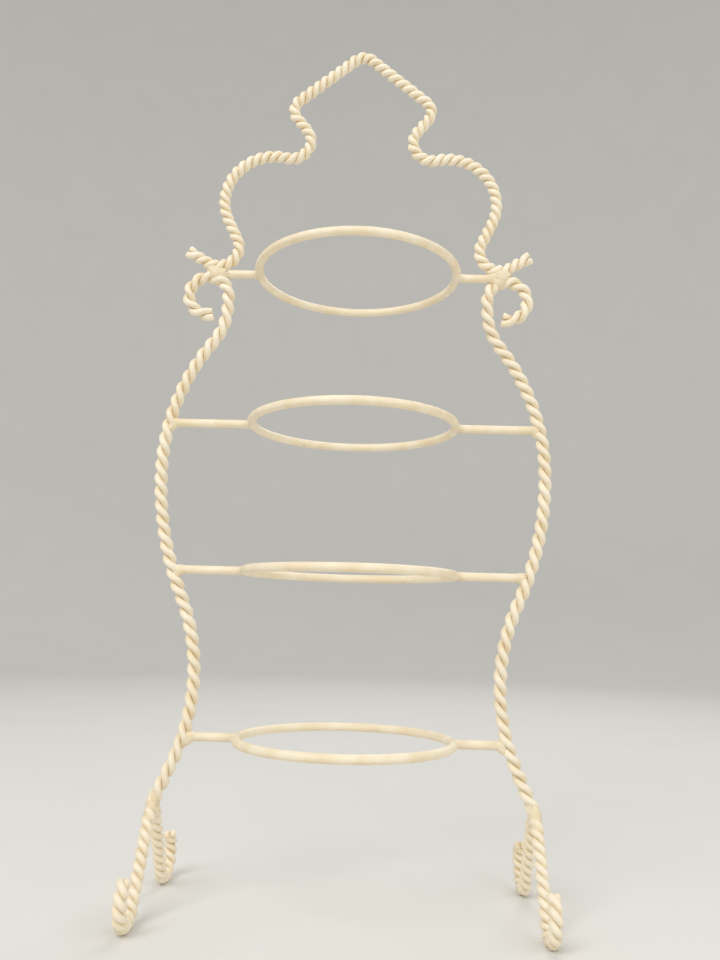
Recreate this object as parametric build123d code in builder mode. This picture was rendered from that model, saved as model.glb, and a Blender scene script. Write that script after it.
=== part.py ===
from build123d import *
import os
from math import atan, ceil, cos, hypot, pi, radians, sin, sqrt

# A free-standing four-tier dish stand, welded from painted steel wire, in millimetres.
# Z = 0 is the table, X the width and -Y the front. The left half is the right half turned
# half round Z, which keeps the hand of every twist.

# Wire: each twist is two round wires laid left-handed, the rings and rods are single wires
post_wire = 4.5
post_lay = 19.6
trim_wire = 4.2
trim_lay = 14.0
twist_gap = 0.4
rod_wire = 6.0
weld_gap = 0.1

# Bends: hooks, crown eyes and feet are curled on one pin, corners and leg arches on a smaller one
curl_radius = 14.5
corner_radius = 10.5

# Legs: an arch across each post's foot, its ends curled outward and up
leg_lean = 60.0
leg_length = 50.0
foot_angle = 210.0
foot_flat = 0.5

# Side posts: distance from the middle and height where the twist runs upright
post_splay = 24.0
waist_x = 103.4
waist_z = 143.0
waist_radius = 135.0
belly_x = 135.0
belly_z = 289.0
neck_x = 94.5
neck_z = 409.0
neck_radius = 46.0
hook_rise = 8.0
hook_angle = 285.0

# Crown: bends of one half from the peak outward, and the tail that ends it
peak_slope = 39.7
kink_angle = 89.0
kink_length = 12.8
inner_eye_angle = 142.2
shoulder_radius = 36.3
shoulder_angle = 129.3
shoulder_length = 17.0
outer_eye_angle = 145.9
tail_length = 17.7
crown_inset = 5.7

# Tiers, from the lowest; the top one lies in the notch between hook and crown
ring_diameter = 150.0
tier_1_height = 106.0
tier_2_height = 217.0
tier_3_height = 321.0
top_rod_rise = 2.5

# Welds
ring_weld_length = 3.0
ring_weld_swell = 1.2
ring_weld_wrap = 1.8
post_weld_length = 4.5
post_weld_swell = 1.8
post_weld_wrap = 3.4
bow_weld_swell = 2.6
bow_weld_wrap = 6.0
leg_weld_rise = 5.0
leg_weld_drop = 4.0
leg_weld_swell = 1.4
leg_weld_core = 1.3


# Wire courses: straight runs and bends laid end to end in a plane

def straight(length):
    return length, 0.0


def bend(radius, angle):
    return radius * radians(abs(angle)), (1 if angle > 0 else -1) / radius


def advance(x, y, heading, length, curvature):
    half_turn = curvature * length / 2
    chord = length if half_turn == 0 else length * sin(half_turn) / half_turn
    x += chord * cos(heading + half_turn)
    y += chord * sin(heading + half_turn)
    return x, y, heading + 2 * half_turn


def lay_out(x, y, heading, moves):
    runs = []
    for length, curvature in moves:
        runs.append((x, y, heading, length, curvature))
        x, y, heading = advance(x, y, heading, length, curvature)
    return runs


def course_length(runs):
    return sum(run[3] for run in runs)


def place_on(runs, distance):
    for x, y, heading, length, curvature in runs[:-1]:
        if distance <= length:
            return advance(x, y, heading, distance, curvature)
        distance -= length
    x, y, heading, length, curvature = runs[-1]
    return advance(x, y, heading, distance, curvature)


def both_halves(half, peak_height):
    end_x, end_y, end_heading = place_on(half, course_length(half))
    moves = [(length, curvature) for *start, length, curvature in half]
    return lay_out(-end_x, end_y + peak_height, -end_heading, moves[::-1] + moves)


# Twists: each wire winds round the course as a left-handed helix

class Twist:
    def __init__(self, plane, runs, wire, lay, zero):
        self.plane = plane
        self.runs = runs
        self.wire = wire
        self.lay = lay
        self.zero = zero
        self.length = course_length(runs)

    def point(self, side, distance):
        x, y, heading = place_on(self.runs, distance)
        radius = (self.wire + twist_gap) / 2
        angle = side * pi - 2 * pi * (distance - self.zero) / self.lay
        out = radius * cos(angle)
        local = Vector(x - out * sin(heading), y + out * cos(heading), radius * sin(angle))
        return self.plane.from_local_coords(local)

    def points(self, side, per_turn):
        count = ceil(per_turn * self.length / self.lay)
        return [self.point(side, self.length * k / count) for k in range(count + 1)]


# Each quarter turn of a wire is drawn as two arcs that share a tangent
def twisted_wire(twist, side):
    quarters = ceil(4 * twist.length / twist.lay)
    nudge = twist.wire / 25
    stops = []
    for k in range(quarters + 1):
        distance = twist.length * k / quarters
        ahead = twist.point(side, distance + nudge) - twist.point(side, distance - nudge)
        stops.append((twist.point(side, distance), ahead.normalized()))
    with BuildPart() as wire:
        with BuildLine() as course:
            arcs = []
            for (start, leave), (end, arrive) in zip(stops, stops[1:]):
                chord = end - start
                along = chord.dot(leave + arrive)
                spread = 2 * (1 - leave.dot(arrive))
                reach = (sqrt(along**2 + spread * chord.dot(chord)) - along) / spread
                first = start + leave * reach
                second = end - arrive * reach
                middle = (first + second) * 0.5
                arcs.append(TangentArc(start, middle, tangent=leave, mode=Mode.PRIVATE))
                arcs.append(TangentArc(middle, end, tangent=second - first, mode=Mode.PRIVATE))
            add(arcs)
        with BuildSketch(Plane(course.line @ 0, z_dir=course.line % 0)):
            Circle(twist.wire / 2)
        sweep(path=course.line)
    return wire.part


def turned_half_round(piece):
    with BuildPart() as other:
        add(piece, rotation=(0, 0, 180))
    return other.part


post_twist_radius = post_wire + twist_gap / 2
trim_twist_radius = trim_wire + twist_gap / 2

# Leg course: from the middle of the arch to the end of the back foot, seen along +X
leg_half = lay_out(
    0,
    0,
    0,
    [bend(corner_radius, -leg_lean), straight(leg_length), bend(curl_radius, foot_angle)],
)
foot_run = corner_radius * radians(leg_lean) + leg_length + curl_radius * radians(leg_lean)
foot_drop = place_on(leg_half, foot_run)[1]
arch_height = trim_twist_radius - foot_flat - foot_drop
post_seat = arch_height + trim_twist_radius + weld_gap

# A whole number of half turns from arch to foot puts one wire lowest under each foot
leg_lay = 2 * foot_run / round(2 * foot_run / trim_lay)

# Post course: from below the seat up through waist, belly and neck into the hook
lower_swing = 2 * atan((belly_x - waist_x) / (belly_z - waist_z))
upper_swing = 2 * atan((belly_x - neck_x) / (neck_z - belly_z))
belly_lower_radius = (belly_z - waist_z) / sin(lower_swing) - waist_radius
belly_upper_radius = (neck_z - belly_z) / sin(upper_swing) - neck_radius
splay = radians(post_splay)
splay_x = waist_x + waist_radius * (1 - cos(splay))
splay_z = waist_z - waist_radius * sin(splay)
seat_run = (splay_z - post_seat) / cos(splay)
leg_x = splay_x + seat_run * sin(splay)
trim_run = 2 * post_twist_radius
post_runs = lay_out(
    leg_x + trim_run * sin(splay),
    post_seat - trim_run * cos(splay),
    radians(90) + splay,
    [
        straight(seat_run + trim_run),
        (waist_radius * (splay + lower_swing), -1 / waist_radius),
        (belly_lower_radius * lower_swing, 1 / belly_lower_radius),
        (belly_upper_radius * upper_swing, 1 / belly_upper_radius),
        (neck_radius * upper_swing, -1 / neck_radius),
        straight(hook_rise),
        bend(curl_radius, -hook_angle),
    ],
)
hook_x = neck_x + curl_radius
hook_z = neck_z + hook_rise

# Crown course: its outer eyes rest on the hooks, which sets the length of the peak's slopes
def crown_half(slope_length):
    return lay_out(
        0,
        0,
        0,
        [
            bend(corner_radius, -peak_slope),
            straight(slope_length),
            bend(corner_radius, -kink_angle),
            straight(kink_length),
            bend(curl_radius, inner_eye_angle),
            bend(shoulder_radius, -shoulder_angle),
            straight(shoulder_length),
            bend(curl_radius, outer_eye_angle),
            straight(tail_length),
        ],
    )


def outer_eye_centre(half):
    x, y, heading, length, curvature = half[-2]
    return x - curl_radius * sin(heading), y + curl_radius * cos(heading)


eye_x = hook_x - crown_inset
eye_spacing = 2 * curl_radius + post_twist_radius + trim_twist_radius + weld_gap
eye_z = hook_z + sqrt(eye_spacing**2 - crown_inset**2)
slope_length = (eye_x - outer_eye_centre(crown_half(0))[0]) / cos(radians(peak_slope))
crown_side = crown_half(slope_length)
crown_peak = eye_z - outer_eye_centre(crown_side)[1]

leg_runs = both_halves(leg_half, arch_height)
crown_runs = both_halves(crown_side, crown_peak)
leg = Twist(Plane.YZ.offset(leg_x), leg_runs, trim_wire, leg_lay, course_length(leg_half))
post = Twist(Plane.XZ, post_runs, post_wire, post_lay, 0)
crown = Twist(Plane.XZ, crown_runs, trim_wire, trim_lay, course_length(crown_side))

pieces = {}


# Twisted wires
def foot_wire(side):
    with BuildPart() as wire:
        add(twisted_wire(leg, side))
        split(bisect_by=Plane.XY, keep=Keep.TOP)
    return wire.part


def post_foot_wire(stock):
    with BuildPart() as wire:
        add(stock)
        split(bisect_by=Plane.XY.offset(post_seat), keep=Keep.TOP)
    return wire.part


post_stock = [twisted_wire(post, side) for side in (0, 1)]


for side, letter in enumerate("ab"):
    pieces[f"crown_wire_{letter}"] = twisted_wire(crown, side)
    pieces[f"right_post_wire_{letter}"] = post_foot_wire(post_stock[side])
    pieces[f"right_leg_wire_{letter}"] = foot_wire(side)
    for member in ("post", "leg"):
        right = pieces[f"right_{member}_wire_{letter}"]
        pieces[f"left_{member}_wire_{letter}"] = turned_half_round(right)


# Rings and the straight rods that carry them
def tier_ring(height):
    with BuildPart() as ring:
        with BuildSketch(Plane.XZ):
            with Locations(((ring_diameter - rod_wire) / 2, height)):
                Circle(rod_wire / 2)
        revolve(axis=Axis.Z)
    return ring.part


# A rod stops short of the first wire that it would meet
def rod_reach(height, twists):
    reach = belly_x
    for twist in twists:
        for point in twist.points(0, 48) + twist.points(1, 48):
            miss = max(0, hypot(point.Y, point.Z - height) - rod_wire / 2)
            if point.X > 0 and miss < twist.wire / 2:
                reach = min(reach, point.X - sqrt((twist.wire / 2) ** 2 - miss**2))
    return reach - weld_gap


def tier_rod(height, reach):
    with BuildPart() as rod:
        with BuildSketch(Plane.YZ.offset(ring_diameter / 2)):
            with Locations((0, height)):
                Circle(rod_wire / 2)
        extrude(amount=reach - ring_diameter / 2)
    return rod.part


# A weld round a rod's end: it swells from the rod towards what the end meets and is shaped to it
def weld(height, tip, direction, length, swell, wrap, neighbours):
    with BuildPart() as bead:
        with BuildSketch(Plane.XZ):
            with BuildLine():
                start = (tip - direction * length, height + rod_wire / 2)
                crest = (tip + direction * wrap, height + rod_wire / 2 + swell)
                Line(start, crest)
                Polyline(crest, (crest[0], height), (tip, height), (tip, height + rod_wire / 2), start)
            make_face()
        revolve(axis=Axis((0, 0, height), (1, 0, 0)))
        for neighbour in neighbours:
            add(neighbour, mode=Mode.SUBTRACT)
    return bead.part


top_height = hook_z + curl_radius + top_rod_rise
post_wires = [pieces["right_post_wire_a"], pieces["right_post_wire_b"]]
crown_wires = [pieces["crown_wire_a"], pieces["crown_wire_b"]]
ring_welds = []
post_welds = []
for tier, height in enumerate((tier_1_height, tier_2_height, tier_3_height, top_height), start=1):
    ring = tier_ring(height)
    reach = rod_reach(height, [post, crown])
    rod = tier_rod(height, reach)
    pieces[f"tier_{tier}_ring"] = ring
    pieces[f"tier_{tier}_right_rod"] = rod
    pieces[f"tier_{tier}_left_rod"] = turned_half_round(rod)
    ring_welds.append(
        weld(height, ring_diameter / 2, -1, ring_weld_length, ring_weld_swell, ring_weld_wrap, [ring])
    )
    if height == top_height:
        bow_weld = weld(
            height, reach, 1, post_weld_length, bow_weld_swell, bow_weld_wrap, post_wires + crown_wires
        )
    else:
        post_welds.append(
            weld(height, reach, 1, post_weld_length, post_weld_swell, post_weld_wrap, post_wires)
        )


# The weld round a post's foot, flat underneath where it stands on the leg's arch
def post_foot_weld():
    foot = Plane((leg_x, 0, post_seat), x_dir=(cos(splay), 0, sin(splay)), z_dir=(0, -1, 0))
    with BuildPart() as bead:
        with BuildSketch(foot):
            with BuildLine():
                Polyline(
                    (leg_weld_core, leg_weld_rise),
                    (post_twist_radius - leg_weld_swell / 2, leg_weld_rise),
                    (post_twist_radius + leg_weld_swell, 0),
                    (post_twist_radius, -leg_weld_drop),
                    (leg_weld_core, -leg_weld_drop),
                    close=True,
                )
            make_face()
        revolve(axis=Axis(foot.origin, foot.y_dir))
        split(bisect_by=Plane.XY.offset(post_seat), keep=Keep.TOP)
        for stock in post_stock:
            add(stock, mode=Mode.SUBTRACT)
    return bead.part


def on_both_sides(beads):
    with BuildPart() as group:
        for bead in beads:
            add(bead)
            add(bead, rotation=(0, 0, 180))
    return group.part


pieces["ring_welds"] = on_both_sides(ring_welds)
pieces["post_welds"] = on_both_sides(post_welds)
pieces["bow_welds"] = on_both_sides([bow_weld])
pieces["leg_welds"] = on_both_sides([post_foot_weld()])

os.makedirs("parts", exist_ok=True)
for name, piece in pieces.items():
    piece.label = name
    export_step(piece, f"parts/{name}.step")

print(f"leg_x {leg_x:.2f}, arch {arch_height:.2f}, peak {crown_peak:.2f}, slopes {slope_length:.2f}")
print(f"top tier {top_height:.2f}, crown eyes {eye_x:.2f} {eye_z:.2f}, leg lay {leg_lay:.2f}")
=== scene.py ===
import math

import bpy
from mathutils import Matrix, Vector


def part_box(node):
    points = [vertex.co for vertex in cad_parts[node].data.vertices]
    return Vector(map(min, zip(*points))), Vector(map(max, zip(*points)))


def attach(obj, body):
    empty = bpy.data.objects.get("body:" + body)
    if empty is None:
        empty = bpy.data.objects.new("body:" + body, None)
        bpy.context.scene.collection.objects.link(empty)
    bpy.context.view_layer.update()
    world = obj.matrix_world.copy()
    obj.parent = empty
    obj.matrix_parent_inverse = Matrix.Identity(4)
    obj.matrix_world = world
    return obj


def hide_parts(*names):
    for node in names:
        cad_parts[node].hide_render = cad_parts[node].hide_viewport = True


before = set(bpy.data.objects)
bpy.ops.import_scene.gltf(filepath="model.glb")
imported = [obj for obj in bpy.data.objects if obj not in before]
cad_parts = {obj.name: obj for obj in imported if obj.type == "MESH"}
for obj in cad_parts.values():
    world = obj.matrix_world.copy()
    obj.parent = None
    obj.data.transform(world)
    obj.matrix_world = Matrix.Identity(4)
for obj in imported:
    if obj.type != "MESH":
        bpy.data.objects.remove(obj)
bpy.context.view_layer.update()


# Legs: on each side a rope of two 4.2 mm steel wires, twisted cold to the left, bent over a pin to
# a narrow arch under the post, and curled outward and up at both ends to make two feet.
# The whole stand was welded first and then painted cream, so the paint runs over every joint.

trim_wire = 0.0042
twist_gap = 0.0004
paint_film = 0.00018
trim_reach = trim_wire + twist_gap / 2
curl_radius = 0.0145
corner_radius = 0.0105
leg_lean = math.radians(60)
leg_length = 0.050
leg_turns = 5.5
foot_curl = math.radians(210)
foot_flat = 0.0005
leg_x = 0.12571
leg_run = (corner_radius + curl_radius) * leg_lean + leg_length
leg_lay = leg_run / leg_turns
arch_height = (
    trim_reach - foot_flat + (corner_radius + curl_radius) * (1 - math.cos(leg_lean))
    + leg_length * math.sin(leg_lean)
)
rounded_end = {
    "held": 0.004,
    "sprung": 0,
    "rounding": ((0.0003, 0.0006), (0.0005, 0.0004), (0.0006, 0.0002)),
}
guide_step = 0.0008
strand_sides = 20
steps_a_turn = 20
most_wall_corners = 6
cut_tolerance = 0.000001
cap_merge = 0.0002
crease_angle = math.radians(50)


def bend(radius, angle):
    return radius * abs(angle), math.copysign(1 / radius, angle)


def step_along(x, z, heading, length, curvature):
    half_turn = curvature * length / 2
    chord = length * math.sin(half_turn) / half_turn if half_turn else length
    x += chord * math.cos(heading + half_turn)
    z += chord * math.sin(heading + half_turn)
    return x, z, heading + 2 * half_turn


def bent_line(start, heading, moves):
    x, z = start
    points = [(x, z)]
    for length, curvature in moves:
        steps = math.ceil(length / guide_step)
        for step in range(steps):
            x, z, heading = step_along(x, z, heading, length / steps, curvature)
            points.append((x, z))
    return points


def mirrored_line(half_line):
    return [(-x, z) for x, z in half_line[:0:-1]] + half_line


def run_length(moves):
    return sum(length for length, curvature in moves)


def bending_guide(points):
    line = bpy.data.curves.new("bending_guide", "CURVE")
    line.dimensions = "2D"
    spline = line.splines.new("POLY")
    spline.points.add(len(points) - 1)
    for point, (x, z) in zip(spline.points, points):
        point.co = (x, z, 0, 1)
    jig = bpy.data.objects.new("bending_guide", line)
    jig.rotation_euler.x = math.pi / 2
    bpy.context.collection.objects.link(jig)
    return jig


# One wire of a rope: its round section is wound along X and then bent along the guide. At both ends,
# where pliers held it, the twist runs out, the wire springs outward, and the cut face is rounded in
# steps, given as how far inward and how far along. The paint fills the gap between the two wires.
def twisted_wire(name, jig, length, wire, lay, start_angle, end):
    held, rounding = end["held"], end["rounding"]
    rounded = sum(along for inward, along in rounding)
    wound_length = length + 2 * wire
    painted = wire / 2 + paint_film
    offset = wire + twist_gap / 2 - painted
    slant = math.atan(2 * math.pi * offset / lay)
    bpy.ops.object.select_all(action="DESELECT")
    bpy.ops.mesh.primitive_circle_add(
        vertices=strand_sides,
        radius=painted,
        location=(-wire, 0, offset),
        rotation=(0, math.pi / 2, slant),
    )
    strand = bpy.context.object
    strand.name = name
    bpy.ops.object.transform_apply()
    winding = strand.modifiers.new("winding", "SCREW")
    winding.axis = "X"
    winding.angle = -2 * math.pi * wound_length / lay
    winding.screw_offset = wound_length
    winding.steps = winding.render_steps = round(steps_a_turn * wound_length / lay)
    bpy.ops.object.modifier_apply(modifier="winding")

    for vertex in strand.data.vertices:
        along = min(max(vertex.co.x, 0), length)
        near_start = max(0, held - along) ** 2 / held
        near_end = max(0, held - length + along) ** 2 / held
        wound = along + (near_start - near_end - held) / 2
        wound *= length / (length - held)
        straight = Matrix.Rotation(2 * math.pi * (vertex.co.x + wire) / lay, 3, "X") @ vertex.co
        loose = max(near_start, near_end) / held
        straight.y *= 1 - loose * (1 - math.cos(slant))
        straight.z += loose * end["sprung"]
        vertex.co = Matrix.Rotation(start_angle - 2 * math.pi * wound / lay, 3, "X") @ straight

    bpy.ops.object.mode_set(mode="EDIT")
    for cut, beyond in ((rounded, -1), (length - rounded, 1)):
        bpy.ops.mesh.select_all(action="SELECT")
        bpy.ops.mesh.bisect(
            plane_co=(cut, 0, 0),
            plane_no=(beyond, 0, 0),
            clear_outer=True,
            use_fill=True,
            threshold=cut_tolerance,
        )
    bpy.ops.mesh.select_all(action="SELECT")
    bpy.ops.mesh.normals_make_consistent(inside=False)
    bpy.ops.mesh.select_face_by_sides(number=most_wall_corners, type="GREATER", extend=False)
    bpy.ops.mesh.remove_doubles(threshold=cap_merge)
    for inward, along in rounding:
        bpy.ops.mesh.inset(thickness=inward, depth=along)
    bpy.ops.object.mode_set(mode="OBJECT")

    # The hollow between the wires is 0 at a crest and 1 at the middle of the rope.
    hollow = strand.data.attributes.new("hollow", "FLOAT", "POINT")
    for vertex in strand.data.vertices:
        from_axis = math.hypot(vertex.co.y, vertex.co.z)
        hollow.data[vertex.index].value = 1 - from_axis / (wire + twist_gap / 2)

    bending = strand.modifiers.new("bending", "CURVE")
    bending.object = jig
    bending.deform_axis = "POS_X"
    bpy.ops.object.modifier_apply(modifier="bending")
    bpy.ops.object.shade_smooth_by_angle(angle=crease_angle)
    return strand


def take_up(piece):
    bpy.ops.object.select_all(action="DESELECT")
    piece.select_set(True)
    bpy.context.view_layer.objects.active = piece


def cut_flat(piece, height):
    take_up(piece)
    bpy.ops.object.mode_set(mode="EDIT")
    bpy.ops.mesh.select_all(action="SELECT")
    bpy.ops.mesh.bisect(
        plane_co=(0, 0, height),
        plane_no=(0, 0, 1),
        clear_inner=True,
        use_fill=True,
        threshold=cut_tolerance,
    )
    bpy.ops.object.mode_set(mode="OBJECT")


def turned_half_round(piece, name):
    take_up(piece)
    bpy.ops.object.duplicate()
    other = bpy.context.object
    other.name = name
    other.rotation_euler.z = math.pi
    bpy.ops.object.transform_apply()
    return other


def linear(hex_colour):
    channels = [int(hex_colour[k : k + 2], 16) / 255 for k in (1, 3, 5)]
    return [c / 12.92 if c <= 0.04045 else ((c + 0.055) / 1.055) ** 2.4 for c in channels] + [1]


def add_node(material, kind, settings=(), values=(), links=()):
    made = material.node_tree.nodes.new(kind)
    for key, value in dict(settings).items():
        setattr(made, key, value)
    for key, value in dict(values).items():
        made.inputs[key].default_value = value
    for key, source in dict(links).items():
        material.node_tree.links.new(source, made.inputs[key])
    return made


# A Mix node has its colour sockets under the same names as its plain ones, so they go by number.
colour_mix = {"data_type": "RGBA"}
colour_a, colour_b, colour_out = 6, 7, 2


# Cream enamel, sprayed on primed steel wire: satin, a little uneven in thickness and so in warmth.
# The crests of a twist are paler, partly where hands rub them and partly a painted highlight, and
# the hollows between the wires browner, partly where paint pooled and dust settled and partly
# painted shade. A few chips go through to the grey primer, most of them near joints.
def cream_enamel(name, hollow_from, hollow_to, crest_wear_and_highlight, flaked, pit_depth):
    # The pale crest cream is both wear and a painted highlight. The hollow colour is both dust and
    # painted shade between the wires.
    thick_cream, thin_cream, worn_and_highlit_cream = linear("#F5E8CD"), linear("#EEDCB9"), linear("#FBF2DF")
    dust_and_groove_shade, grey_primer = linear("#CCB88F"), linear("#A39579")
    cloud_size, blotch_size, chip_size, peel_size = 0.016, 0.005, 0.0035, 0.0014
    ripple_depth = 0.00045

    enamel = bpy.data.materials.new(name)
    enamel.use_nodes = True
    shader = enamel.node_tree.nodes["Principled BSDF"]
    shader.inputs["IOR"].default_value = 1.5
    where = add_node(enamel, "ShaderNodeTexCoord").outputs["Object"]
    hollow = add_node(enamel, "ShaderNodeAttribute", {"attribute_name": "hollow"}).outputs["Fac"]

    cloud = add_node(
        enamel,
        "ShaderNodeTexNoise",
        values={"Scale": 1 / cloud_size, "Detail": 3},
        links={"Vector": where},
    ).outputs["Fac"]
    warmth = add_node(
        enamel,
        "ShaderNodeMapRange",
        values={"From Min": 0.38, "From Max": 0.64},
        links={"Value": cloud},
    ).outputs["Result"]
    paint = add_node(
        enamel,
        "ShaderNodeMix",
        colour_mix,
        {colour_a: thick_cream, colour_b: thin_cream},
        {"Factor": warmth},
    ).outputs[colour_out]
    # Painted highlight: the crests of a twist shift towards a lighter cream. This is partly paint rubbed
    # thin and partly a painted highlight where light falls on them.
    crest = add_node(
        enamel,
        "ShaderNodeMapRange",
        values={"From Min": 0.2, "From Max": 0.02, "To Min": 0, "To Max": crest_wear_and_highlight},
        links={"Value": hollow},
    ).outputs["Result"]
    worn_and_highlit_paint = add_node(
        enamel,
        "ShaderNodeMix",
        colour_mix,
        {colour_b: worn_and_highlit_cream},
        {"Factor": crest, colour_a: paint},
    ).outputs[colour_out]

    blotch = add_node(
        enamel,
        "ShaderNodeTexNoise",
        values={"Scale": 1 / blotch_size, "Detail": 4},
        links={"Vector": where},
    ).outputs["Fac"]
    # Painted shade: deep in the hollow between two wires the paint turns browner, partly settled dust
    # and partly painted shade. On plain wire and weld beads the same mask marks soiling near the joints.
    pooled_dust_and_shade = add_node(
        enamel,
        "ShaderNodeMapRange",
        values={"From Min": hollow_from, "From Max": hollow_to},
        links={"Value": hollow},
    ).outputs["Result"]
    patchy_dust_and_shade = add_node(
        enamel,
        "ShaderNodeMapRange",
        values={"From Min": 0.3, "From Max": 0.7, "To Min": 0.45, "To Max": 1.0},
        links={"Value": blotch},
    ).outputs["Result"]
    grime_and_groove_shade = add_node(
        enamel, "ShaderNodeMath", {"operation": "MULTIPLY"}, links={0: pooled_dust_and_shade, 1: patchy_dust_and_shade}
    ).outputs["Value"]
    stained_and_shaded = add_node(
        enamel,
        "ShaderNodeMix",
        colour_mix,
        {colour_b: dust_and_groove_shade},
        {"Factor": grime_and_groove_shade, colour_a: worn_and_highlit_paint},
    ).outputs[colour_out]

    speck = add_node(
        enamel,
        "ShaderNodeTexNoise",
        values={"Scale": 1 / chip_size, "Detail": 3},
        links={"Vector": where},
    ).outputs["Fac"]
    near_joint = add_node(
        enamel, "ShaderNodeMath", {"operation": "MULTIPLY_ADD"}, {1: flaked}, {0: pooled_dust_and_shade, 2: speck}
    ).outputs["Value"]
    chip = add_node(
        enamel,
        "ShaderNodeMapRange",
        values={"From Min": 0.72, "From Max": 0.77, "To Min": 0, "To Max": 0.8},
        links={"Value": near_joint},
    ).outputs["Result"]
    worn = add_node(
        enamel,
        "ShaderNodeMix",
        colour_mix,
        {colour_b: grey_primer},
        {"Factor": chip, colour_a: stained_and_shaded},
    ).outputs[colour_out]

    satin = add_node(
        enamel,
        "ShaderNodeMapRange",
        values={"From Min": 0.3, "From Max": 0.7, "To Min": 0.4, "To Max": 0.56},
        links={"Value": blotch},
    ).outputs["Result"]
    peel = add_node(
        enamel,
        "ShaderNodeTexNoise",
        values={"Scale": 1 / peel_size, "Detail": 2},
        links={"Vector": where},
    ).outputs["Fac"]
    ripple = add_node(
        enamel,
        "ShaderNodeBump",
        values={"Strength": 1, "Distance": ripple_depth},
        links={"Height": blotch},
    ).outputs["Normal"]
    bump = add_node(
        enamel,
        "ShaderNodeBump",
        values={"Strength": 1, "Distance": pit_depth},
        links={"Height": peel, "Normal": ripple},
    ).outputs["Normal"]
    for socket, source in (("Base Color", worn), ("Roughness", satin), ("Normal", bump)):
        enamel.node_tree.links.new(source, shader.inputs[socket])
    return enamel


# On twisted wire the crests carry a painted highlight and the hollows between the wires carry painted
# shade.
twist_enamel = cream_enamel(
    "cream_enamel_on_twisted_wire",
    hollow_from=0.5,
    hollow_to=0.92,
    crest_wear_and_highlight=0.45,
    flaked=0.05,
    pit_depth=0.00008,
)


def dress(piece, enamel):
    piece.data.materials.clear()
    piece.data.materials.append(enamel)
    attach(piece, "root")
    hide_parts(piece.name.replace("painted_", ""))


leg_moves = [bend(corner_radius, -leg_lean), (leg_length, 0), bend(curl_radius, foot_curl)]
leg_line = mirrored_line(bent_line((0, arch_height), 0, leg_moves))
leg_guide = bending_guide(leg_line)
leg_half = run_length(leg_moves)
for side, letter in enumerate("ab"):
    leg_angle = side * math.pi + 2 * math.pi * leg_half / leg_lay
    leg = twisted_wire(
        f"painted_right_leg_wire_{letter}",
        leg_guide,
        2 * leg_half,
        trim_wire,
        leg_lay,
        leg_angle,
        rounded_end,
    )
    leg.rotation_euler.z = math.pi / 2
    leg.location.x = leg_x
    bpy.ops.object.transform_apply()
    cut_flat(leg, 0)
    for piece in (leg, turned_half_round(leg, f"painted_left_leg_wire_{letter}")):
        dress(piece, twist_enamel)
bpy.data.objects.remove(leg_guide)


# Side posts: a rope of two 4.5 mm wires on each side, bent by hand on a jig to a waist and a belly,
# curled over at the top into a hook, and cut level at the foot, where it is welded to its leg.

post_wire = 0.0045
post_lay = 0.0196
post_reach = post_wire + twist_gap / 2
weld_gap = 0.0001
post_seat = arch_height + trim_reach + weld_gap
post_splay = math.radians(24)
waist_x, waist_z, waist_radius = 0.1034, 0.143, 0.135
belly_x, belly_z = 0.135, 0.289
neck_x, neck_z, neck_radius = 0.0945, 0.409, 0.046
hook_rise = 0.008
hook_curl = math.radians(285)
cropped_end = {"held": 0.007, "sprung": 0.0006, "rounding": ((0.00015, 0.0002), (0.0003, 0.0001))}

lower_swing = 2 * math.atan((belly_x - waist_x) / (belly_z - waist_z))
upper_swing = 2 * math.atan((belly_x - neck_x) / (neck_z - belly_z))
belly_lower_radius = (belly_z - waist_z) / math.sin(lower_swing) - waist_radius
belly_upper_radius = (neck_z - belly_z) / math.sin(upper_swing) - neck_radius
foot_run = (waist_z - waist_radius * math.sin(post_splay) - post_seat) / math.cos(post_splay)
foot_trim = 2 * post_reach
post_moves = [
    (foot_run + foot_trim, 0),
    bend(waist_radius, -(post_splay + lower_swing)),
    bend(belly_lower_radius, lower_swing),
    bend(belly_upper_radius, upper_swing),
    bend(neck_radius, -upper_swing),
    (hook_rise, 0),
    bend(curl_radius, -hook_curl),
]
post_start = (
    leg_x + foot_trim * math.sin(post_splay),
    post_seat - foot_trim * math.cos(post_splay),
)
post_line = bent_line(post_start, math.pi / 2 + post_splay, post_moves)
post_guide = bending_guide(post_line)
for side, letter in enumerate("ab"):
    post = twisted_wire(
        f"painted_right_post_wire_{letter}",
        post_guide,
        run_length(post_moves),
        post_wire,
        post_lay,
        side * math.pi,
        cropped_end,
    )
    cut_flat(post, post_seat)
    for piece in (post, turned_half_round(post, f"painted_left_post_wire_{letter}")):
        dress(piece, twist_enamel)
bpy.data.objects.remove(post_guide)


# Crown: one rope of two 4.2 mm wires over the top, bent from a pointed peak down to a kink, an eye
# and a shoulder on each side, and round an outer eye that rests on the hook and ends in a short tail.

trim_lay = 0.014
peak_slope = math.radians(39.7)
slope_length = 0.05406
kink_turn = math.radians(89)
kink_length = 0.0128
inner_eye_turn = math.radians(142.2)
shoulder_radius = 0.0363
shoulder_turn = math.radians(129.3)
shoulder_length = 0.017
outer_eye_turn = math.radians(145.9)
tail_length = 0.0177
crown_peak = 0.61224

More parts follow.
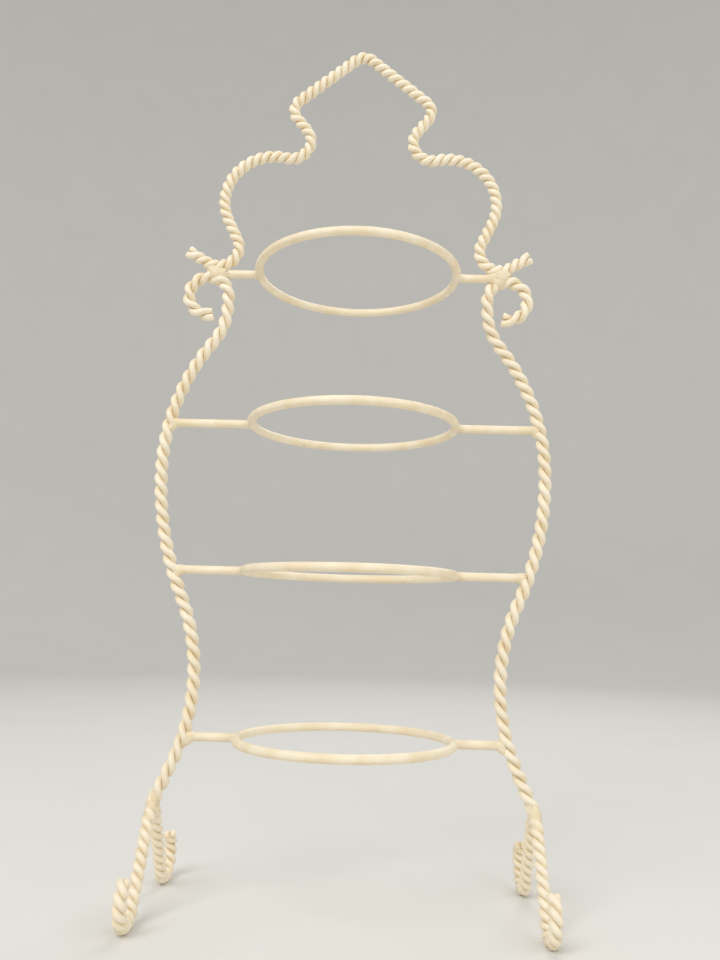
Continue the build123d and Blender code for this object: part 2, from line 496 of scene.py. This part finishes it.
crown_moves = [
    bend(corner_radius, -peak_slope),
    (slope_length, 0),
    bend(corner_radius, -kink_turn),
    (kink_length, 0),
    bend(curl_radius, inner_eye_turn),
    bend(shoulder_radius, -shoulder_turn),
    (shoulder_length, 0),
    bend(curl_radius, outer_eye_turn),
    (tail_length, 0),
]
crown_line = mirrored_line(bent_line((0, crown_peak), 0, crown_moves))
crown_guide = bending_guide(crown_line)
crown_half = run_length(crown_moves)
for side, letter in enumerate("ab"):
    crown_angle = side * math.pi + 2 * math.pi * crown_half / trim_lay
    crown = twisted_wire(
        f"painted_crown_wire_{letter}",
        crown_guide,
        2 * crown_half,
        trim_wire,
        trim_lay,
        crown_angle,
        cropped_end,
    )
    dress(crown, twist_enamel)
bpy.data.objects.remove(crown_guide)


# Tier rings: four hoops of 6 mm wire, 150 mm across, that the dishes stand in. Each was rolled from
# one length and butt welded, and the join, a low swelling, sits behind its right rod. The paint is
# soiled and chipped towards the rods, and farther from them on the lowest tier, the most knocked.

joint_wear = {1: 0.018, 2: 0.008, 3: 0.008, 4: 0.008}
rod_wire = 0.006
ring_diameter = 0.150
ring_radius = (ring_diameter - rod_wire) / 2
ring_steps = 180
wire_sides = 22
join_reach = 0.0035
join_swell = 0.05
# Waves in the paint: the number round a ring, the height as a share of the wire, the shift by tier.
paint_waves = ((5, 0.004, 1), (13, 0.003, 2))
wire_enamel = cream_enamel(
    "cream_enamel_on_plain_wire",
    hollow_from=0.3,
    hollow_to=1.6,
    crest_wear_and_highlight=0,
    flaked=0.18,
    pit_depth=0.00008,
)


# On plain wire the hollow is 1 at a joint and fades to 0 where its wear ends.
def mark_hollow(piece, near, reach):
    hollow = piece.data.attributes.new("hollow", "FLOAT", "POINT")
    for vertex in piece.data.vertices:
        nearest = min((vertex.co - place).length for place in near)
        hollow.data[vertex.index].value = max(0, 1 - nearest / reach)


tier_heights = []
for tier, wear in joint_wear.items():
    low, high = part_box(f"tier_{tier}_ring")
    height = (low.z + high.z) / 2
    tier_heights.append(height)
    bpy.ops.object.select_all(action="DESELECT")
    bpy.ops.mesh.primitive_torus_add(
        major_segments=ring_steps,
        minor_segments=wire_sides,
        major_radius=ring_radius,
        minor_radius=rod_wire / 2,
        location=(0, 0, height),
    )
    ring = bpy.context.object
    ring.name = f"painted_tier_{tier}_ring"
    bpy.ops.object.transform_apply()
    for vertex in ring.data.vertices:
        around = math.atan2(vertex.co.y, vertex.co.x)
        core = Vector((ring_radius * math.cos(around), ring_radius * math.sin(around), height))
        join = math.exp(-((around * ring_radius / join_reach) ** 2))
        waver = sum(rise * math.sin(waves * around + shift * tier) for waves, rise, shift in paint_waves)
        vertex.co = core + (vertex.co - core) * (1 + join_swell * join + waver)
    rod_ends = [Vector((side * ring_diameter / 2, 0, height)) for side in (-1, 1)]
    mark_hollow(ring, rod_ends, wear)
    bpy.ops.object.shade_smooth()
    dress(ring, wire_enamel)


# Rods: straight 6 mm wires, one on each side of every ring, that carry it from the posts. The cut
# ends were filed a little round and the paint is thicker towards the welds.

filed_edge = 0.0005
rod_lengths = 24
thick_paint = 0.05
thick_reach = 0.006

for tier, height in enumerate(tier_heights, start=1):
    low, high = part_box(f"tier_{tier}_right_rod")
    bpy.ops.object.select_all(action="DESELECT")
    bpy.ops.mesh.primitive_cylinder_add(
        vertices=wire_sides,
        radius=rod_wire / 2,
        depth=high.x - low.x,
        location=((low.x + high.x) / 2, 0, height),
        rotation=(0, math.pi / 2, 0),
    )
    rod = bpy.context.object
    rod.name = f"painted_tier_{tier}_right_rod"
    bpy.ops.object.transform_apply()
    bpy.ops.object.mode_set(mode="EDIT")
    bpy.ops.mesh.select_all(action="DESELECT")
    bpy.ops.mesh.select_face_by_sides(number=most_wall_corners, type="GREATER", extend=False)
    bpy.ops.mesh.bevel(offset=filed_edge, segments=3)
    for cut in range(1, rod_lengths):
        bpy.ops.mesh.select_all(action="SELECT")
        cut_x = low.x + (high.x - low.x) * cut / rod_lengths
        bpy.ops.mesh.bisect(plane_co=(cut_x, 0, 0), plane_no=(1, 0, 0))
    bpy.ops.object.mode_set(mode="OBJECT")
    for vertex in rod.data.vertices:
        from_end = min(vertex.co.x - low.x, high.x - vertex.co.x)
        thicker = 1 + thick_paint * max(0, 1 - from_end / thick_reach) ** 2
        vertex.co.y *= thicker
        vertex.co.z = height + (vertex.co.z - height) * thicker
    rod_ends = [Vector((end_x, 0, height)) for end_x in (low.x, high.x)]
    mark_hollow(rod, rod_ends, joint_wear[tier])
    bpy.ops.object.shade_smooth_by_angle(angle=crease_angle)
    for piece in (rod, turned_half_round(rod, f"painted_tier_{tier}_left_rod")):
        dress(piece, wire_enamel)


# Welds: beads of filler run into each joint while the steel was hot. They are smooth where the rods
# meet rings and posts and where the posts stand on the legs, and a pitted lump covers the joint of
# rod, hook and crown. All were painted over with the rest.

bead_grain, bead_pitting = 0.0003, 0.00015
lump_grain, lump_pitting = 0.00035, 0.0010
saddle_pitting = 0.00025
settle_passes = 40
pit_size = 0.0012
bead_soiling = 0.7
bead_enamel = cream_enamel(
    "cream_enamel_on_weld_beads",
    hollow_from=0.3,
    hollow_to=1.6,
    crest_wear_and_highlight=0,
    flaked=0.18,
    pit_depth=0.00022,
)


def weld_bead(drops, grain, pitting):
    bpy.ops.object.select_all(action="DESELECT")
    laid = []
    for place, size in drops:
        bpy.ops.mesh.primitive_ico_sphere_add(subdivisions=3, radius=1, location=place, scale=size)
        laid.append(bpy.context.object)
    for drop in laid:
        drop.select_set(True)
    bpy.ops.object.join()
    bead = bpy.context.object
    bpy.ops.object.transform_apply()
    melt = bead.modifiers.new("melt", "REMESH")
    melt.mode = "VOXEL"
    melt.voxel_size = grain
    bpy.ops.object.modifier_apply(modifier="melt")
    settle = bead.modifiers.new("settle", "SMOOTH")
    settle.factor = 0.5
    settle.iterations = settle_passes
    bpy.ops.object.modifier_apply(modifier="settle")
    pits = bpy.data.textures.new("weld_pits", "CLOUDS")
    pits.noise_scale = pit_size
    pits.noise_depth = 2
    pitted = bead.modifiers.new("pits", "DISPLACE")
    pitted.texture = pits
    pitted.texture_coords = "LOCAL"
    pitted.strength = pitting
    pitted.mid_level = 0.6
    bpy.ops.object.modifier_apply(modifier="pits")
    bpy.ops.object.shade_smooth()
    return bead


def flare_of_drops(start, spacing, sizes):
    drops = []
    for count, (across, upright) in enumerate(sizes):
        place = start + Vector((spacing * count, 0, 0))
        drops.append((place, (upright, across, upright)))
    return drops


def weld_group(name, beads):
    others = [turned_half_round(bead, "other_side") for bead in beads]
    for bead in beads + others:
        bead.select_set(True)
    bpy.context.view_layer.objects.active = beads[0]
    bpy.ops.object.join()
    group = bpy.context.object
    group.name = name
    hollow = group.data.attributes.new("hollow", "FLOAT", "POINT")
    for value in hollow.data:
        value.value = bead_soiling
    dress(group, bead_enamel)


# A flare is a row of drops, given as half sizes across and upright. The web's drops, under a rod, are
# given as a place outward of and above the rod's end and one half size, and the bow's lumps as a
# place from the bow's joint and three half sizes.
ring_flare = ((0.0030, 0.0030), (0.0032, 0.0031), (0.0036, 0.0031), (0.0042, 0.0031), (0.0050, 0.0030))
ring_flare_start, ring_flare_spacing = 0.0022, -0.0009
post_flare = ((0.0030, 0.0030), (0.0031, 0.0032), (0.0032, 0.0034), (0.0033, 0.0035), (0.0034, 0.0036))
post_flare_start, post_flare_spacing = -0.0032, 0.0012
post_web = ((0.0014, -0.0016, 0.0033), (0.0030, -0.0034, 0.0029))
bow_joint = Vector((0.1042, 0, 0.4342))
bow_lumps = (
    ((0, -0.0006, 0), (0.0064, 0.0064, 0.0066)),
    ((-0.0047, 0, -0.0004), (0.0052, 0.0050, 0.0048)),
    ((0.0030, -0.0004, 0.0022), (0.0046, 0.0052, 0.0044)),
    ((-0.0018, -0.0006, -0.0042), (0.0046, 0.0054, 0.0048)),
)
ring_beads = []
post_beads = []
for tier, height in enumerate(tier_heights, start=1):
    low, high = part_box(f"tier_{tier}_right_rod")
    ring_end = Vector((low.x + ring_flare_start, 0, height))
    ring_drops = flare_of_drops(ring_end, ring_flare_spacing, ring_flare)
    ring_beads.append(weld_bead(ring_drops, bead_grain, bead_pitting))
    outer_end = Vector((high.x + post_flare_start, 0, height))
    drops = flare_of_drops(outer_end, post_flare_spacing, post_flare)
    if tier < len(tier_heights):
        for outward, above, size in post_web:
            drops.append((Vector((high.x + outward, 0, height + above)), (size, size, size)))
        post_beads.append(weld_bead(drops, bead_grain, bead_pitting))
    else:
        drops += [(bow_joint + Vector(offset), size) for offset, size in bow_lumps]
        bow_bead = weld_bead(drops, lump_grain, lump_pitting)
weld_group("painted_ring_welds", ring_beads)
weld_group("painted_post_welds", post_beads)
weld_group("painted_bow_welds", [bow_bead])

saddle = [
    ((-0.0024, 0, 0.0054), (0.0036, 0.0036, 0.0036)),
    ((-0.0014, 0, 0.0032), (0.0041, 0.0041, 0.0038)),
    ((-0.0005, 0, 0.0010), (0.0045, 0.0046, 0.0038)),
    ((0, 0, -0.0016), (0.0047, 0.0058, 0.0038)),
]
saddle_thick, saddle_thin = 0.0044, 0.0037
for degrees in (0, 20, 40, 60):
    over = math.radians(degrees)
    size = saddle_thick + (saddle_thin - saddle_thick) * over / leg_lean
    for way in (-1, 1):
        place = (
            0,
            way * corner_radius * math.sin(over),
            -trim_reach - corner_radius * (1 - math.cos(over)),
        )
        saddle.append((place, (size, size, size)))
foot_drops = [(Vector(place) + Vector((leg_x, 0, post_seat)), size) for place, size in saddle]
weld_group("painted_leg_welds", [weld_bead(foot_drops, bead_grain, saddle_pitting)])


# Stage: a round floor of pale matt paper with a paper backdrop that curves up all round it, plain
# soft light from the front and above, and the camera where the photograph was taken from, a little
# below the middle and looking up. The backdrop lets the light of the studio through.

floor_radius = 2.2
sweep_radius = 1.2
wall_height = 4.0
stage_sides = 128
sweep_steps = 16
mottle_size = 0.15

bpy.ops.object.select_all(action="DESELECT")
bpy.ops.mesh.primitive_circle_add(vertices=stage_sides, radius=floor_radius, fill_type="NGON")
floor = bpy.context.object
floor.name = "floor"

bpy.ops.object.select_all(action="DESELECT")
bpy.ops.mesh.primitive_circle_add(vertices=stage_sides, radius=floor_radius, fill_type="NOTHING")
backdrop = bpy.context.object
backdrop.name = "backdrop"
bpy.ops.object.mode_set(mode="EDIT")
bpy.ops.mesh.select_all(action="SELECT")
reach, lift = floor_radius, 0
for step in range(1, sweep_steps + 1):
    swept = math.pi / 2 * step / sweep_steps
    rise = sweep_radius * (1 - math.cos(swept)) - lift
    widen = (floor_radius + sweep_radius * math.sin(swept)) / reach
    bpy.ops.mesh.extrude_region_move(TRANSFORM_OT_translate={"value": (0, 0, rise)})
    bpy.ops.transform.resize(value=(widen, widen, 1), center_override=(0, 0, 0))
    reach *= widen
    lift += rise
bpy.ops.mesh.extrude_region_move(TRANSFORM_OT_translate={"value": (0, 0, wall_height)})
bpy.ops.mesh.select_all(action="SELECT")
bpy.ops.mesh.normals_make_consistent(inside=True)
bpy.ops.object.mode_set(mode="OBJECT")
bpy.ops.object.shade_smooth()
backdrop.visible_diffuse = False
backdrop.visible_shadow = False
paper = bpy.data.materials.new("pale_studio_paper")
paper.use_nodes = True
paper_shader = paper.node_tree.nodes["Principled BSDF"]
paper_shader.inputs["Roughness"].default_value = 0.9
paper_mottle = add_node(
    paper,
    "ShaderNodeTexNoise",
    values={"Scale": 1 / mottle_size, "Detail": 3},
    links={"Vector": add_node(paper, "ShaderNodeTexCoord").outputs["Object"]},
).outputs["Fac"]
paper_tone = add_node(
    paper,
    "ShaderNodeMix",
    colour_mix,
    {colour_a: linear("#DEDCD7"), colour_b: linear("#E3E1DC")},
    {"Factor": paper_mottle},
).outputs[colour_out]
paper.node_tree.links.new(paper_tone, paper_shader.inputs["Base Color"])
for sheet in (floor, backdrop):
    sheet.data.materials.append(paper)

scene = bpy.context.scene
scene.view_settings.view_transform = "Standard"
studio = bpy.data.worlds.new("studio")
scene.world = studio
studio.use_nodes = True
studio_light = studio.node_tree.nodes["Background"]
studio_light.inputs["Color"].default_value = linear("#F4F4F2")
studio_light.inputs["Strength"].default_value = 0.57
lamps_aim = Vector((0, 0, 0.3))
for name, place, size, power in (
    ("key_light", (-0.9, -1.5, 1.9), 1.4, 30),
    ("fill_light", (1.6, -1.2, 0.9), 1.6, 11),
    ("back_light", (0.4, 1.3, 1.8), 1.2, 10),
):
    lamp = bpy.data.lights.new(name, "AREA")
    lamp.size = size
    lamp.energy = power
    hung = bpy.data.objects.new(name, lamp)
    hung.location = place
    hung.rotation_euler = (lamps_aim - Vector(place)).to_track_quat("-Z", "Y").to_euler()
    scene.collection.objects.link(hung)

film_height = 36
photo_height_pixels = 960
focal_length_pixels = 814.5
camera_place = (0.01689, -0.56420, 0.18688)
pitch, yaw, roll = 0.1682, -0.0202, 0.0273
lens = bpy.data.cameras.new("camera")
lens.sensor_fit = "VERTICAL"
lens.sensor_height = film_height
lens.lens = film_height * focal_length_pixels / photo_height_pixels
lens.clip_start = 0.01
ahead = Vector((math.sin(yaw) * math.cos(pitch), math.cos(yaw) * math.cos(pitch), math.sin(pitch)))
level = Vector((math.cos(yaw), -math.sin(yaw), 0))
upright = level.cross(ahead)
right = level * math.cos(roll) + upright * math.sin(roll)
up = upright * math.cos(roll) - level * math.sin(roll)
camera = bpy.data.objects.new("camera", lens)
turn = Matrix((right, up, -ahead)).transposed().to_4x4()
camera.matrix_world = Matrix.Translation(camera_place) @ turn
scene.collection.objects.link(camera)
scene.camera = camera
